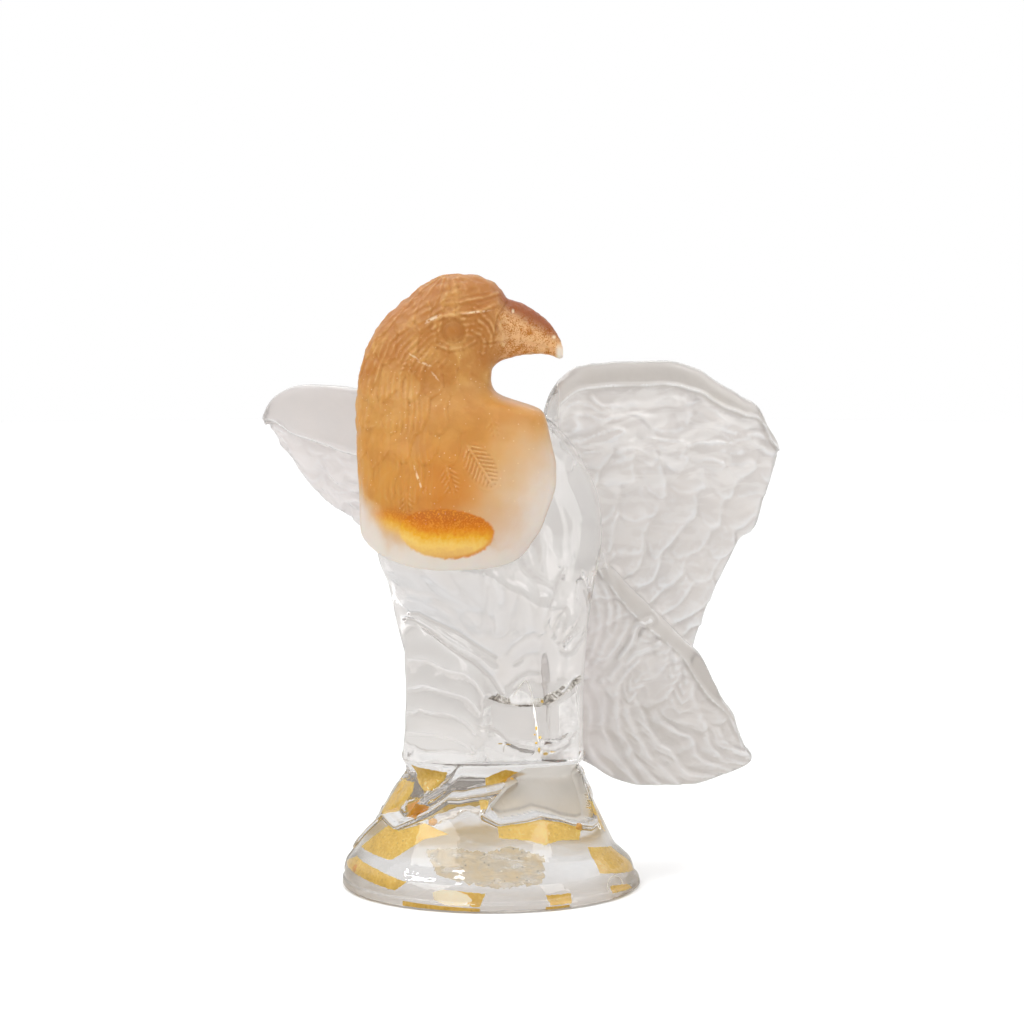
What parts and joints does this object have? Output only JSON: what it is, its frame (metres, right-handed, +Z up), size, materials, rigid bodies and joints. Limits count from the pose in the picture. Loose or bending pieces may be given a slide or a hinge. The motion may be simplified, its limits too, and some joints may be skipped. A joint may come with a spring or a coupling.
{
  "type": "crystal eagle sculpture",
  "caption": "Cast crystal eagle with raised wings and a fanned tail on a flared rock base, its head and breast in amber crystal, gold leaf sealed in the base.",
  "frame": {"origin": "centre of the base's flat underside, on the surface it stands on", "axes": "+Z up, -Y to the front, +X to the side that the head looks to"},
  "size_m": [0.2679, 0.1619, 0.3063],
  "materials": {
    "clear_crystal": "clear cast crystal, satin on the wings and tail",
    "amber_crystal": "satin amber crystal, fading to clear pink at the breast",
    "polished_crystal": "polished clear crystal",
    "gold_leaf": "gold leaf sealed under the glass"
  },
  "bodies": {
    "root": {"amber_head_and_breast": "amber_crystal", "eagle_body_and_wings": "clear_crystal", "rock_base": "polished_crystal"}
  },
  "joints": []
}
